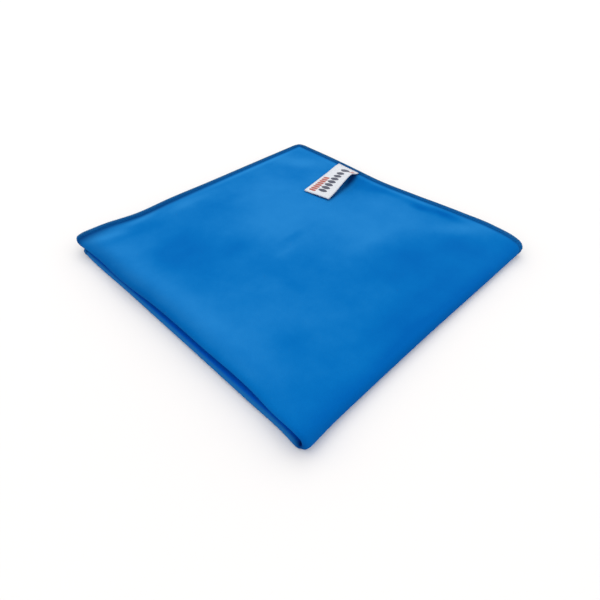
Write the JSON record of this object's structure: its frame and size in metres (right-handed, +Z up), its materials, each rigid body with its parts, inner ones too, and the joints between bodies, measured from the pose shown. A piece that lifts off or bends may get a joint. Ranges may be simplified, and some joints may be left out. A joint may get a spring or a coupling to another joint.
{
  "type": "microfibre cloth",
  "caption": "Square microfibre cleaning cloth folded twice into a flat pad, with an overlocked hem on its open edges and a small sewn-in label on the top layer.",
  "frame": {"origin": "on the surface that the cloth lies on, under the middle of its bounding box", "axes": "+Z up through the layers; +X from the edge with the two stacked folds to the hemmed edge that the label is sewn into; +Y from the single wide fold to the other hemmed edge"},
  "size_m": [0.2038, 0.2066, 0.0131],
  "materials": {
    "microfibre": "matt suede-like knitted microfibre, bright blue, with a darker overlocked edge",
    "label_satin": "smooth white satin ribbon"
  },
  "bodies": {
    "root": {"cloth": "microfibre", "label": "label_satin"}
  },
  "joints": []
}
